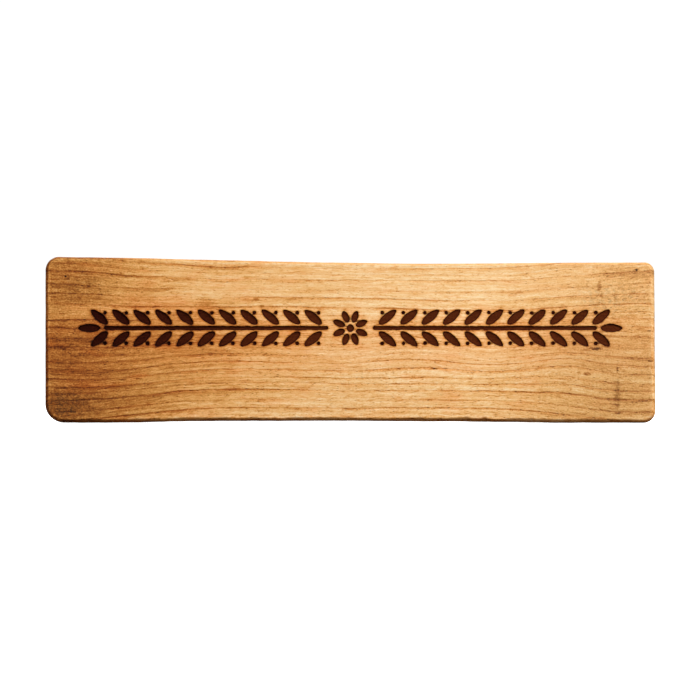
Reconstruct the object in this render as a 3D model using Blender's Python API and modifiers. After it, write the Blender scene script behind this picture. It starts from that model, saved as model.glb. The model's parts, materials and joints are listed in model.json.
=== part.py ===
"""Wooden wall plaque: one plank with a burned laurel band on its face, two D-ring
hangers screwed to its back and four stick-on rubber bumpers.

Frame: metres, +Z up, the face looks along -Y. The origin is the middle of the
footprint: x = 0 half way along the plank, y = 0 half way through the overall depth,
z = 0 on the two flats of the bottom edge that the plaque can stand on.
"""

import math

import bmesh
import bpy
from mathutils import Vector

MM = 0.001

# ---------------------------------------------------------------- driving sizes (mm)
LENGTH = 300.0              # end to end
THICK = 18.0                # plank thickness
TOUCH = 0.3                 # air left between pieces that rest on each other
BUMPER_TALL = 5.0
DEPTH = THICK + TOUCH + BUMPER_TALL     # face to bumper tops
FRONT = -DEPTH / 2          # y of the plank's face
BACK = FRONT + THICK        # y of the plank's back
EDGE_ROUND = 1.9            # worn roundover on every long edge

# The plank was sawn by eye, so its edges are not quite straight.
# Height of each edge at stations along x.
TOP_EDGE = ((-150, 81.3), (-128, 81.1), (-88, 80.2), (-49, 79.3), (-10, 78.5),
            (30, 77.9), (69, 78.0), (108, 78.4), (150, 78.5))
BOTTOM_EDGE = ((-150, 0.0), (-116, 0.0), (-86, 0.6), (-45, 0.9), (12, 0.9),
               (58, 0.55), (106, 0.0), (150, 0.0))
# Corner radii: top left, top right, bottom right, bottom left, seen from the front.
R_TL, R_TR, R_BR, R_BL = 6.6, 4.8, 5.9, 9.5
END_LEFT_TOP, END_LEFT_BOTTOM = -149.8, -150.0
END_RIGHT_TOP, END_RIGHT_BOTTOM = 149.4, 150.0

# Burned band
BAND_Z = 46.4               # height of the band's centre line
BURN_DEEP = 0.8
STEM_HALF = 1.0
STEM_FROM, STEM_TO = 10.9, 121.2
LEAF_LONG, LEAF_WIDE, LEAF_ANGLE = 10.8, 4.2, 40.0
LEAF_PITCH, LEAF_FIRST, LEAF_PAIRS = 10.5, 14.2, 11
LEAF_OFF = 1.9              # leaf base to stem centre line
BERRY_R, BERRY_OUT = 0.95, 8.7
PETALS, PETAL_FROM, PETAL_LONG, PETAL_WIDE = 8, 2.9, 6.2, 3.4
ROSE_DOT_R = 1.9

# D-ring hangers
HANG_X = 105.0              # each side of the middle
RING_Z = 60.0               # height of the ring's hinge axis
STRAP_WIDE, SHEET = 10.0, 0.8
EYE_MID_R = 1.7             # middle of the sheet, round the ring's bar
LEAF_GAP = 0.1              # between the strap's two leaves
TAIL = 14.5                 # hinge axis to screw axis
WIRE_R = 1.0
RING_HALF = 7.0             # half width on the wire's centre line
RING_LEG = 3.0              # straight leg under the bow
RING_CORNER = 1.5

# Pan-head wood screws
SCREW_LONG = 12.0
HEAD_R, HEAD_TALL = 3.5, 2.3
THREAD_R, CORE_R, PITCH = 1.75, 1.3, 1.5
PILOT_R, PILOT_DEEP = 2.05, 10.5
STRAP_HOLE_R = 2.15

# Bumpers
BUMPER_R = 5.5
BUMPER_X = 136.0
BUMPER_LOW, BUMPER_HIGH = 13.0, 66.0


# ---------------------------------------------------------------- helpers
def clear_scene():
    for obj in list(bpy.data.objects):
        bpy.data.objects.remove(obj, do_unlink=True)


def collection(name, helper=False):
    made = bpy.data.collections.new(name)
    bpy.context.scene.collection.children.link(made)
    made.hide_render = helper
    return made


def material(name, colour, roughness, metallic=0.0):
    made = bpy.data.materials.new(name)
    made.use_nodes = True
    shader = made.node_tree.nodes["Principled BSDF"]
    shader.inputs["Base Color"].default_value = (*colour, 1.0)
    shader.inputs["Roughness"].default_value = roughness
    shader.inputs["Metallic"].default_value = metallic
    return made


def add(name, data, into, mat=None, at=(0, 0, 0), turn=(0, 0, 0)):
    obj = bpy.data.objects.new(name, data)
    into.objects.link(obj)
    obj.location = Vector(at) * MM
    obj.rotation_euler = turn
    if mat is not None:
        data.materials.append(mat)
    return obj


def as_cutter(obj):
    obj.hide_render = True
    obj.display_type = "WIRE"
    return obj


def cut(obj, cutter, operation="DIFFERENCE"):
    step = obj.modifiers.new(operation.lower(), "BOOLEAN")
    step.operation = operation
    step.object = cutter
    step.solver = "EXACT"


def between(stations, x):
    """Straight-line value of an edge at x."""
    for (x0, z0), (x1, z1) in zip(stations, stations[1:]):
        if x <= x1:
            return z0 + (z1 - z0) * (x - x0) / (x1 - x0)
    return stations[-1][1]


def arc(cx, cz, r, start, end, steps):
    """Points of an arc, angles in degrees, counter-clockwise when end > start."""
    made = []
    for i in range(steps + 1):
        a = math.radians(start + (end - start) * i / steps)
        made.append((cx + r * math.cos(a), cz + r * math.sin(a)))
    return made


def plank_outline():
    """The plank's outline seen from the front, counter-clockwise from the bottom left."""
    points = arc(END_LEFT_BOTTOM + R_BL, R_BL, R_BL, 180, 270, 6)
    points += [(x, z) for x, z in BOTTOM_EDGE
               if END_LEFT_BOTTOM + R_BL + 1 < x < END_RIGHT_BOTTOM - R_BR - 1]
    points += arc(END_RIGHT_BOTTOM - R_BR, R_BR, R_BR, 270, 360, 6)
    top = between(TOP_EDGE, END_RIGHT_TOP - R_TR)
    points += arc(END_RIGHT_TOP - R_TR, top - R_TR, R_TR, 0, 90, 5)
    points += [(x, z) for x, z in reversed(TOP_EDGE)
               if END_LEFT_TOP + R_TL + 1 < x < END_RIGHT_TOP - R_TR - 1]
    top = between(TOP_EDGE, END_LEFT_TOP + R_TL)
    points += arc(END_LEFT_TOP + R_TL, top - R_TL, R_TL, 90, 180, 6)
    return points


def flat_curve(name, outlines, half_thick):
    """A 2D curve object data block, filled on both sides, from closed outlines in mm."""
    data = bpy.data.curves.new(name, "CURVE")
    data.dimensions = "2D"
    data.fill_mode = "BOTH"
    data.extrude = half_thick * MM
    for outline in outlines:
        spline = data.splines.new("POLY")
        spline.points.add(len(outline) - 1)
        for point, (x, z) in zip(spline.points, outline):
            point.co = (x * MM, z * MM, 0.0, 1.0)
        spline.use_cyclic_u = True
    return data


def to_mesh(obj, into, mat=None):
    """The evaluated curve as a welded mesh object of the same name and place."""
    bpy.context.view_layer.update()
    graph = bpy.context.evaluated_depsgraph_get()
    mesh = bpy.data.meshes.new_from_object(obj.evaluated_get(graph))
    shape = bmesh.new()
    shape.from_mesh(mesh)
    bmesh.ops.remove_doubles(shape, verts=shape.verts, dist=1e-7)
    bmesh.ops.recalc_face_normals(shape, faces=shape.faces)
    shape.to_mesh(mesh)
    shape.free()
    name, world = obj.name, obj.matrix_world.copy()
    bpy.data.objects.remove(obj, do_unlink=True)
    made = bpy.data.objects.new(name, mesh)
    into.objects.link(made)
    made.matrix_world = world
    mesh.materials.clear()
    if mat is not None:
        mesh.materials.append(mat)
    return made


def primitive(name, into, mat=None):
    """Takes the active primitive into a collection under its node name."""
    obj = bpy.context.object
    obj.name = name
    obj.data.name = name
    for used in list(obj.users_collection):
        used.objects.unlink(obj)
    into.objects.link(obj)
    if mat is not None:
        obj.data.materials.append(mat)
    return obj


def turned(name, profile, steps, into, mat, at, turn):
    """A solid of revolution about local Z; the profile is (radius, height) in mm, top to bottom."""
    mesh = bpy.data.meshes.new(name)
    shape = bmesh.new()
    verts = [shape.verts.new((r * MM, 0.0, h * MM)) for r, h in profile]
    for a, b in zip(verts, verts[1:]):
        shape.edges.new((a, b))
    shape.to_mesh(mesh)
    shape.free()
    obj = add(name, mesh, into, mat, at, turn)
    spin = obj.modifiers.new("turn", "SCREW")
    spin.angle = 2 * math.pi
    spin.steps = spin.render_steps = steps
    spin.use_merge_vertices = True
    spin.merge_threshold = 0.00001
    return obj


# ---------------------------------------------------------------- burned band
def leaf(x, z, angle, long, wide, per_side=8):
    """A leaf with its stalk end at (x, z), pointing along angle (degrees)."""
    c, s = math.cos(math.radians(angle)), math.sin(math.radians(angle))
    right, left = [], []
    for i in range(per_side + 1):
        t = 0.5 - 0.5 * math.cos(math.pi * i / per_side)
        half = wide / 2 * (4 * t * (1 - t)) ** 0.6 if 0 < t < 1 else 0.0
        along = long * t ** 1.08
        right.append((x + along * c + half * s, z + along * s - half * c))
        if 0 < i < per_side:
            left.append((x + along * c - half * s, z + along * s + half * c))
    return right + left[::-1]


def disc(x, z, r, sides):
    return [(x + r * math.cos(2 * math.pi * i / sides),
             z + r * math.sin(2 * math.pi * i / sides)) for i in range(sides)]


def bar(x0, x1, z, half):
    """A straight stroke with round ends."""
    return (arc(x1 - half, z, half, -90, 90, 5) + arc(x0 + half, z, half, 90, 270, 5))


def mirrored(outline):
    return [(-x, z) for x, z in reversed(outline)]


def band_outlines():
    made = [disc(0, BAND_Z, ROSE_DOT_R, 12)]
    for i in range(PETALS):
        a = 360 * i / PETALS + 22.5
        made.append(leaf(PETAL_FROM * math.cos(math.radians(a)),
                         BAND_Z + PETAL_FROM * math.sin(math.radians(a)),
                         a, PETAL_LONG, PETAL_WIDE, 7))
    side = [bar(STEM_FROM, STEM_TO, BAND_Z, STEM_HALF),
            leaf(STEM_TO + 1.8, BAND_Z, 0, LEAF_LONG, LEAF_WIDE)]
    slope = math.radians(LEAF_ANGLE)
    for i in range(LEAF_PAIRS):
        x = LEAF_FIRST + LEAF_PITCH * i
        for up in (1, -1):
            side.append(leaf(x, BAND_Z + up * LEAF_OFF, up * LEAF_ANGLE, LEAF_LONG, LEAF_WIDE))
            side.append(disc(x - LEAF_PITCH / 2 + BERRY_OUT * math.cos(slope),
                             BAND_Z + up * (LEAF_OFF + BERRY_OUT * math.sin(slope)), BERRY_R, 8))
    return made + side + [mirrored(outline) for outline in side]


# ---------------------------------------------------------------- hardware shapes
def strap_midline():
    """(out, along) of the folded sheet's middle: lower leaf, eye round the bar, upper leaf."""
    low = TOUCH + SHEET / 2
    eye = low + EYE_MID_R
    high = low + SHEET + LEAF_GAP
    bend = 1.0
    centre = high + bend
    drop = math.sqrt((EYE_MID_R + bend) ** 2 - (centre - eye) ** 2)
    finish = 360 - math.degrees(math.atan2(drop, -(centre - eye)))
    tail = TAIL + STRAP_WIDE / 2 + 1
    points = [(low, -tail)]
    steps = 16
    for i in range(steps + 1):
        a = math.radians(finish * i / steps)
        points.append((eye - EYE_MID_R * math.cos(a), EYE_MID_R * math.sin(a)))
    start = math.asin((centre - eye) / (EYE_MID_R + bend))
    for i in range(1, 5):
        b = start + (math.pi / 2 - start) * i / 4
        points.append((centre - bend * math.sin(b), -drop + bend * math.cos(b)))
    points.append((high, -tail))
    return points, eye


def ring_path():
    """(across, along) of the D-ring's wire, starting on the straight bar."""
    h, c, leg = RING_HALF, RING_CORNER, RING_LEG
    path = arc(h - c, c, c, -90, 0, 4)
    path += arc(0, leg, h, 0, 180, 18)
    path += arc(-h + c, c, c, 180, 270, 4)
    return path


def screw_radius(along, turn):
    """Radius of the screw's outside; along runs from the head's top to the tip."""
    if along <= HEAD_TALL:
        t = along / HEAD_TALL
        return HEAD_R * (0.62 + 0.38 * math.sqrt(max(0.0, 1 - (1 - t) ** 2.2)))
    below = along - HEAD_TALL
    if below < 2.6:
        return CORE_R + 0.15
    tip = min(1.0, (SCREW_LONG - below) / 3.0)
    ridge = 0.5 + 0.5 * math.cos(2 * math.pi * (below / PITCH) - turn)
    return (CORE_R + (THREAD_R - CORE_R) * ridge) * (0.1 + 0.9 * tip)


def screw_mesh(name):
    """The screw about local Z, head upwards, with the head's underside at z = 0."""
    sides = 14
    stations = [0.0, 0.25, 0.7, 1.3, 1.9, HEAD_TALL, HEAD_TALL + 0.001]
    below = 2.6
    while below < SCREW_LONG - 0.01:
        stations.append(HEAD_TALL + below)
        below += PITCH / 4
    stations.append(HEAD_TALL + SCREW_LONG)
    shape = bmesh.new()
    bmesh.ops.create_grid(shape, x_segments=sides, y_segments=len(stations) - 1, size=1.0)
    for vert in shape.verts:
        turn = 2 * math.pi * round((vert.co.x + 1) / 2 * sides) / sides
        row = round((vert.co.y + 1) / 2 * (len(stations) - 1))
        along = stations[row]
        r = screw_radius(along, turn)
        vert.co = Vector((r * math.cos(turn), -r * math.sin(turn), HEAD_TALL - along)) * MM
    bmesh.ops.remove_doubles(shape, verts=shape.verts, dist=1e-8)
    bmesh.ops.holes_fill(shape, edges=shape.edges, sides=sides + 1)
    bmesh.ops.recalc_face_normals(shape, faces=shape.faces)
    mesh = bpy.data.meshes.new(name)
    shape.to_mesh(mesh)
    shape.free()
    return mesh


def cross_cutter(name, into):
    """A tapered cross recess for a screwdriver, about local Z, open at the top of the head."""
    def plus(length, width):
        l, w = length / 2, width / 2
        return ((l, -w), (l, w), (w, w), (w, l), (-w, l), (-w, w),
                (-l, w), (-l, -w), (-w, -w), (-w, -l), (w, -l), (w, -w))

    shape = bmesh.new()
    low = [shape.verts.new(Vector((px, py, HEAD_TALL - 1.35)) * MM) for px, py in plus(1.3, 0.6)]
    high = [shape.verts.new(Vector((px, py, HEAD_TALL + 0.6)) * MM) for px, py in plus(4.4, 1.0)]
    shape.faces.new(low[::-1])
    shape.faces.new(high)
    for i in range(12):
        j = (i + 1) % 12
        shape.faces.new((low[i], low[j], high[j], high[i]))
    bmesh.ops.recalc_face_normals(shape, faces=shape.faces)
    mesh = bpy.data.meshes.new(name)
    shape.to_mesh(mesh)
    shape.free()
    return as_cutter(add(name, mesh, into))


def hanger(side, x, parts, tools, steel, zinc):
    """One D-ring hanger: folded strap, D-shaped ring on its bar, and a pan-head screw."""
    midline, eye = strap_midline()
    mesh = bpy.data.meshes.new("hanger_strap_" + side)
    shape = bmesh.new()
    verts = [shape.verts.new((-STRAP_WIDE / 2 * MM, out * MM, along * MM)) for out, along in midline]
    edges = [shape.edges.new((a, b)) for a, b in zip(verts, verts[1:])]
    made = bmesh.ops.extrude_edge_only(shape, edges=edges)
    bmesh.ops.translate(shape, vec=(STRAP_WIDE * MM, 0, 0),
                        verts=[g for g in made["geom"] if isinstance(g, bmesh.types.BMVert)])
    bmesh.ops.recalc_face_normals(shape, faces=shape.faces)
    shape.to_mesh(mesh)
    shape.free()
    strap = add("hanger_strap_" + side, mesh, parts, steel, (x, BACK, RING_Z))
    sheet = strap.modifiers.new("sheet", "SOLIDIFY")
    sheet.thickness = SHEET * MM
    sheet.offset = 0.0
    sheet.use_even_offset = True

    # the tail is round and as wide as the strap
    tongue = arc(0, -TAIL, STRAP_WIDE / 2, 180, 360, 12) + [(STRAP_WIDE / 2, 4.0), (-STRAP_WIDE / 2, 4.0)]
    tongue = [(px * 0.996, pz) for px, pz in tongue]
    shape_of_tail = to_mesh(add("tongue_cutter_" + side, flat_curve("tongue", [tongue], 8.0), tools,
                                None, (x, BACK, RING_Z), (math.pi / 2, 0, 0)), tools)
    cut(strap, as_cutter(shape_of_tail), "INTERSECT")
    bpy.ops.mesh.primitive_cylinder_add(vertices=16, radius=STRAP_HOLE_R * MM, depth=12 * MM,
                                        location=Vector((x, BACK, RING_Z - TAIL)) * MM,
                                        rotation=(math.pi / 2, 0, 0))
    cut(strap, as_cutter(primitive("strap_hole_cutter_" + side, tools)))

    # ring, with its origin on the hinge axis
    data = bpy.data.curves.new("d_ring_" + side, "CURVE")
    data.dimensions = "3D"
    data.bevel_depth = WIRE_R * MM
    data.bevel_resolution = 3
    spline = data.splines.new("POLY")
    path = ring_path()
    spline.points.add(len(path) - 1)
    for point, (across, along) in zip(spline.points, path):
        point.co = (across * MM, 0.0, along * MM, 1.0)
    spline.use_cyclic_u = True
    axis = bpy.data.objects.new("ring_axis_" + side, None)
    parts.objects.link(axis)
    axis.location = Vector((x, BACK + eye, RING_Z)) * MM
    ring = add("d_ring_" + side, data, parts, zinc)
    ring.parent = axis

    # screw, head upwards along +Y
    under = TOUCH + 2 * SHEET + LEAF_GAP + TOUCH
    screw = add("hanger_screw_" + side, screw_mesh("hanger_screw_" + side), parts, zinc,
                (x, BACK + under, RING_Z - TAIL), (-math.pi / 2, 0, 0))
    cross = cross_cutter("cross_cutter_" + side, tools)
    cross.location, cross.rotation_euler = screw.location, screw.rotation_euler
    cut(screw, cross)


# ---------------------------------------------------------------- build
def main():
    clear_scene()
    parts = collection("wooden_plaque")
    tools = collection("cutters", helper=True)

    wood = material("oiled_wood", (0.72, 0.44, 0.19), 0.55)
    steel = material("plated_strap", (0.60, 0.56, 0.47), 0.35, 1.0)
    zinc = material("plated_wire", (0.66, 0.64, 0.60), 0.28, 1.0)
    rubber = material("black_rubber", (0.03, 0.03, 0.03), 0.75)

    # plank
    upright = (math.pi / 2, 0, 0)
    blank = add("board", flat_curve("board", [plank_outline()], THICK / 2), parts, None,
                (0, FRONT + THICK / 2, 0), upright)
    board = to_mesh(blank, parts, wood)
    worn = board.modifiers.new("worn_edges", "BEVEL")
    worn.width = EDGE_ROUND * MM
    worn.segments = 2
    worn.limit_method = "ANGLE"
    worn.angle_limit = math.radians(50)
    worn.use_clamp_overlap = False

    band = to_mesh(add("band_cutter", flat_curve("band", band_outlines(), BURN_DEEP), tools, None,
                       (0, FRONT, 0), upright), tools)
    cut(board, as_cutter(band))
    for side, x in (("left", -HANG_X), ("right", HANG_X)):
        bpy.ops.mesh.primitive_cylinder_add(vertices=14, radius=PILOT_R * MM, depth=2 * PILOT_DEEP * MM,
                                            location=Vector((x, BACK, RING_Z - TAIL)) * MM,
                                            rotation=(math.pi / 2, 0, 0))
        cut(board, as_cutter(primitive("pilot_cutter_" + side, tools)))

    for side, x in (("left", -HANG_X), ("right", HANG_X)):
        hanger(side, x, parts, tools, steel, zinc)

    # bumpers
    profile = ((0.0, BUMPER_TALL), (3.4, BUMPER_TALL), (4.3, BUMPER_TALL - 0.45), (4.95, BUMPER_TALL - 1.3),
               (5.3, BUMPER_TALL - 2.6), (BUMPER_R, 0.4), (BUMPER_R - 0.25, 0.0), (0.0, 0.0))
    for high, z in (("lower", BUMPER_LOW), ("upper", BUMPER_HIGH)):
        for side, x in (("left", -BUMPER_X), ("right", BUMPER_X)):
            turned(f"bumper_{high}_{side}", profile, 24, parts, rubber,
                   (x, BACK + TOUCH, z), (-math.pi / 2, 0, 0))

    for obj in parts.objects:
        if obj.type == "MESH" and obj.name != "board":
            obj.data.shade_smooth()
            obj.data.set_sharp_from_angle(angle=math.radians(35))
    bpy.context.view_layer.update()


main()
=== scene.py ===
"""Looks of the wooden plaque: an oiled, slightly weathered plank with a burned laurel
band, plated D-ring hangers and rubber bumpers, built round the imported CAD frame."""

import json
import math

import bmesh
import bpy
import numpy as np
from mathutils import Matrix, Vector
from mathutils.geometry import delaunay_2d_cdt


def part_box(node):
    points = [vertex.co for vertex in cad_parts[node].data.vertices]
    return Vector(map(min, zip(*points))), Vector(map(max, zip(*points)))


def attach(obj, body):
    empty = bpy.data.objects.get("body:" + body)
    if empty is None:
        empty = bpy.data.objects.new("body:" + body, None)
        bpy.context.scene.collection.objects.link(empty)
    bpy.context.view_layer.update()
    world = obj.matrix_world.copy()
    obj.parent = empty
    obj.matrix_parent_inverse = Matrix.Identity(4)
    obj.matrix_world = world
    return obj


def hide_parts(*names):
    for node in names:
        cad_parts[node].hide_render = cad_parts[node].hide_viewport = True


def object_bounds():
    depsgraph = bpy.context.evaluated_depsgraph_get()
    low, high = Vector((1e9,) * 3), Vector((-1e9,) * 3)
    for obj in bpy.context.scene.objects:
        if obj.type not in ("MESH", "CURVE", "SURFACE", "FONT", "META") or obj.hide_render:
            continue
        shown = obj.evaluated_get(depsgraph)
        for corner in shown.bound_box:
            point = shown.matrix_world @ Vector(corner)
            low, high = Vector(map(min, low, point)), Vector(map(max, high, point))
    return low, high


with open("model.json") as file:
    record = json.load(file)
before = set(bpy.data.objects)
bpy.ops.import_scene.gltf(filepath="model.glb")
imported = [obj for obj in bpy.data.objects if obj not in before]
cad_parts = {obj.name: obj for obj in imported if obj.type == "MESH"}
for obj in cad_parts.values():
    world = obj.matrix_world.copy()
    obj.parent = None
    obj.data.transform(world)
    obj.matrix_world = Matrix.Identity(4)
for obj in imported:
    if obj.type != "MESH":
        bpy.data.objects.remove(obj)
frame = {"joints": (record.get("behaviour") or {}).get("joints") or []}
cad_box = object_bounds()
MM = 0.001

# ------------------------------------------------------------------ sizes (mm)
board_lo, board_hi = (np.array(v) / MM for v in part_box("board"))
FRONT, BACK = board_lo[1], board_hi[1]
TOP_EDGE = ((-150, 81.3), (-128, 81.1), (-88, 80.2), (-49, 79.3), (-10, 78.5),
            (30, 77.9), (69, 78.0), (108, 78.4), (150, 78.5))
BOTTOM_EDGE = ((-150, 0.0), (-116, 0.0), (-86, 0.6), (-45, 0.9), (12, 0.9),
               (58, 0.55), (106, 0.0), (150, 0.0))
R_TL, R_TR, R_BR, R_BL = 6.6, 4.8, 5.9, 9.5
END_LEFT_TOP, END_LEFT_BOTTOM = -149.8, -150.0
END_RIGHT_TOP, END_RIGHT_BOTTOM = 149.4, 150.0

BAND_Z = 46.4
BURN_DEEP = 0.8
STEM_HALF = 1.0
STEM_FROM, STEM_TO = 10.9, 121.2
LEAF_LONG, LEAF_WIDE, LEAF_ANGLE = 10.8, 4.2, 40.0
LEAF_PITCH, LEAF_FIRST, LEAF_PAIRS = 10.5, 14.2, 11
LEAF_OFF = 1.9
BERRY_R, BERRY_OUT = 0.95, 8.7
PETALS, PETAL_FROM, PETAL_LONG, PETAL_WIDE = 8, 2.9, 6.2, 3.4
ROSE_DOT_R = 1.9
PILOT_R, PILOT_DEEP = 2.05, 10.5

TOUCH = 0.3
STRAP_WIDE, SHEET, EYE_MID_R, LEAF_GAP, TAIL = 10.0, 0.8, 1.7, 0.1, 14.5
WIRE_R, RING_HALF, RING_LEG, RING_CORNER = 1.0, 7.0, 3.0, 1.5
SCREW_LONG, HEAD_TALL = 12.0, 2.3
THREAD_R, CORE_R, PITCH, STRAP_HOLE_R = 1.75, 1.3, 1.5, 2.15


# ------------------------------------------------------------------ noise
class Noise:
    """Smooth seeded value noise in three dimensions, from -1 to 1."""

    def __init__(self, seed):
        self.table = np.random.RandomState(seed).rand(48, 48, 48) * 2 - 1

    def __call__(self, x, y=0.0, z=0.0):
        x, y, z = np.broadcast_arrays(np.asarray(x, float), y, z)
        i, j, k = np.floor(x), np.floor(y), np.floor(z)
        u, v, w = x - i, y - j, z - k
        u, v, w = (t * t * t * (t * (t * 6 - 15) + 10) for t in (u, v, w))
        i, j, k = (a.astype(int) % 48 for a in (i, j, k))
        i1, j1, k1 = (i + 1) % 48, (j + 1) % 48, (k + 1) % 48
        t = self.table

        def line(a, b):
            return t[i, a, b] * (1 - u) + t[i1, a, b] * u

        low = line(j, k) * (1 - v) + line(j1, k) * v
        high = line(j, k1) * (1 - v) + line(j1, k1) * v
        return low * (1 - w) + high * w


n_warp, n_fine, n_edge, n_relief, n_wobble = (Noise(s) for s in (3, 11, 23, 37, 51))


def smooth(lo, hi, x):
    t = np.clip((np.asarray(x, float) - lo) / (hi - lo), 0, 1)
    return t * t * (3 - 2 * t)


# ------------------------------------------------------------------ growth rings
def ring_height(x, y, z):
    """Distance across the growth rings (mm) at a point: nearly z, tilted through the thickness."""
    deep = y - FRONT
    out = (z - 44) + 0.40 * deep
    out = out * (1 - 0.17 * smooth(55, 150, -x) - 0.15 * smooth(60, 150, x))

    def hump(cx, cz, wx, wz):
        return np.exp(-((x - cx) / wx) ** 2 - ((z - cz) / wz) ** 2)

    out = out - 2.4 * hump(108, 28, 30, 12) - 2.2 * hump(34, 31, 22, 9)
    out = out - 1.1 * hump(105, 29, 13, 6) + 1.2 * hump(71, 33, 18, 7)
    out = out + 1.8 * hump(-118, 24, 30, 12) - 1.2 * hump(-20, 64, 45, 10)
    out = out + 1.25 * n_warp(x / 62, y / 40, z / 24) + 0.55 * n_warp(x / 21 + 9, y / 20, z / 11)
    out = out + 0.16 * n_warp(x / 6.5 + 31, y / 6, z / 4.2)
    return out + 44


def ring_count(v):
    return (v + 0.9 * np.sin(v * 0.23 + 1.1) + 0.45 * np.sin(v * 0.61 + 0.4)) / 3.8


def line_fade(x, y, z):
    """How strongly a growth line shows here, 0 to 1."""
    a = n_warp(x / 34 + 5, y / 20 + 3, z / 5.5 + 7)
    b = n_warp(x / 11 + 15, y / 12 + 3, z / 3.1 + 17)
    return np.clip(0.68 + 0.5 * a + 0.25 * b, 0.22, 1)


def relief(x, y, z, amount=1.0):
    """Depth of the grain under the nominal surface (mm)."""
    g = ring_count(ring_height(x, y, z))
    phase, k = g - np.floor(g), np.floor(g)
    strength = 0.3 + 0.7 * (k * 0.618034 + 0.13 - np.floor(k * 0.618034 + 0.13))
    groove = np.exp(-((phase - 0.9) / 0.10) ** 2) * strength * line_fade(x, y, z)
    fibre = n_fine(x / 16, y / 0.9, z / 0.85) + 0.6 * n_fine(x / 7 + 20, y / 0.6, z / 0.6)
    broad = n_relief(x / 45, y / 30, z / 26)
    return amount * (0.075 * groove + 0.018 * fibre + 0.10 * (broad + 1) * 0.5)


# ------------------------------------------------------------------ plank outline
def edge_line(stations, xs):
    """Smooth height of an edge: the stations' straight segments, rounded off."""
    at = np.arange(-190.0, 190.5, 0.5)
    z = np.interp(at, *zip(*stations))
    kernel = np.exp(-0.5 * (np.arange(-60, 61) * 0.5 / 8.0) ** 2)
    padded = np.pad(z, 60, mode="edge")
    z = np.convolve(padded, kernel / kernel.sum(), "valid")
    return np.interp(xs, at, z)


def arc(cx, cz, r, start, end, steps):
    a = np.radians(np.linspace(start, end, steps + 1))
    return np.stack([cx + r * np.cos(a), cz + r * np.sin(a)], 1)


def plank_outline(step=0.75):
    """Closed outline, counter-clockwise seen from the front, evenly spaced; and outward normals."""
    xs = np.linspace(END_LEFT_BOTTOM + R_BL, END_RIGHT_BOTTOM - R_BR, 500)[1:-1]
    bottom = np.stack([xs, edge_line(BOTTOM_EDGE, xs)], 1)
    top_r = float(edge_line(TOP_EDGE, END_RIGHT_TOP - R_TR))
    top_l = float(edge_line(TOP_EDGE, END_LEFT_TOP + R_TL))
    xs = np.linspace(END_RIGHT_TOP - R_TR, END_LEFT_TOP + R_TL, 500)[1:-1]
    top = np.stack([xs, edge_line(TOP_EDGE, xs)], 1)
    path = np.concatenate([
        arc(END_LEFT_BOTTOM + R_BL, R_BL, R_BL, 180, 270, 24), bottom,
        arc(END_RIGHT_BOTTOM - R_BR, R_BR, R_BR, 270, 360, 24),
        arc(END_RIGHT_TOP - R_TR, top_r - R_TR, R_TR, 0, 90, 24), top,
        arc(END_LEFT_TOP + R_TL, top_l - R_TL, R_TL, 90, 180, 24)])
    closed = np.concatenate([path, path[:1]])
    length = np.concatenate([[0], np.cumsum(np.linalg.norm(np.diff(closed, axis=0), axis=1))])
    count = int(length[-1] / step)
    at = np.linspace(0, length[-1], count, endpoint=False)
    points = np.stack([np.interp(at, length, closed[:, i]) for i in (0, 1)], 1)
    ahead, behind = np.roll(points, -3, 0), np.roll(points, 3, 0)
    along = ahead - behind
    along /= np.linalg.norm(along, axis=1)[:, None]
    normals = np.stack([along[:, 1], -along[:, 0]], 1)
    return points, normals, at


# ------------------------------------------------------------------ burned band
def leaf(x, z, angle, long, wide, inset, n=15):
    t = 0.5 - 0.5 * np.cos(np.pi * np.arange(n + 1) / n)
    half = (wide - 2 * inset) / 2 * (4 * t * (1 - t)) ** 0.6
    along = inset + (long - 2 * inset) * t ** 1.08
    c, s = math.cos(math.radians(angle)), math.sin(math.radians(angle))
    right = np.stack([x + along * c + half * s, z + along * s - half * c], 1)
    left = np.stack([x + along * c - half * s, z + along * s + half * c], 1)[1:-1]
    return np.concatenate([right, left[::-1]])


def disc(x, z, r, inset, n=20):
    a = 2 * np.pi * np.arange(n) / n
    return np.stack([x + (r - inset) * np.cos(a), z + (r - inset) * np.sin(a)], 1)


def bar(x0, x1, z, half, inset):
    r = half - inset
    right = arc(x1 - half, z, r, -90, 90, 8)
    left = arc(x0 + half, z, r, 90, 270, 8)
    n = int((x1 - x0) / 0.7)
    xs = np.linspace(x1 - half, x0 + half, n + 2)[1:-1]
    over = np.stack([xs, np.full(n, z + r)], 1)
    under = np.stack([xs[::-1], np.full(n, z - r)], 1)
    return np.concatenate([right, over, left, under])


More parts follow.
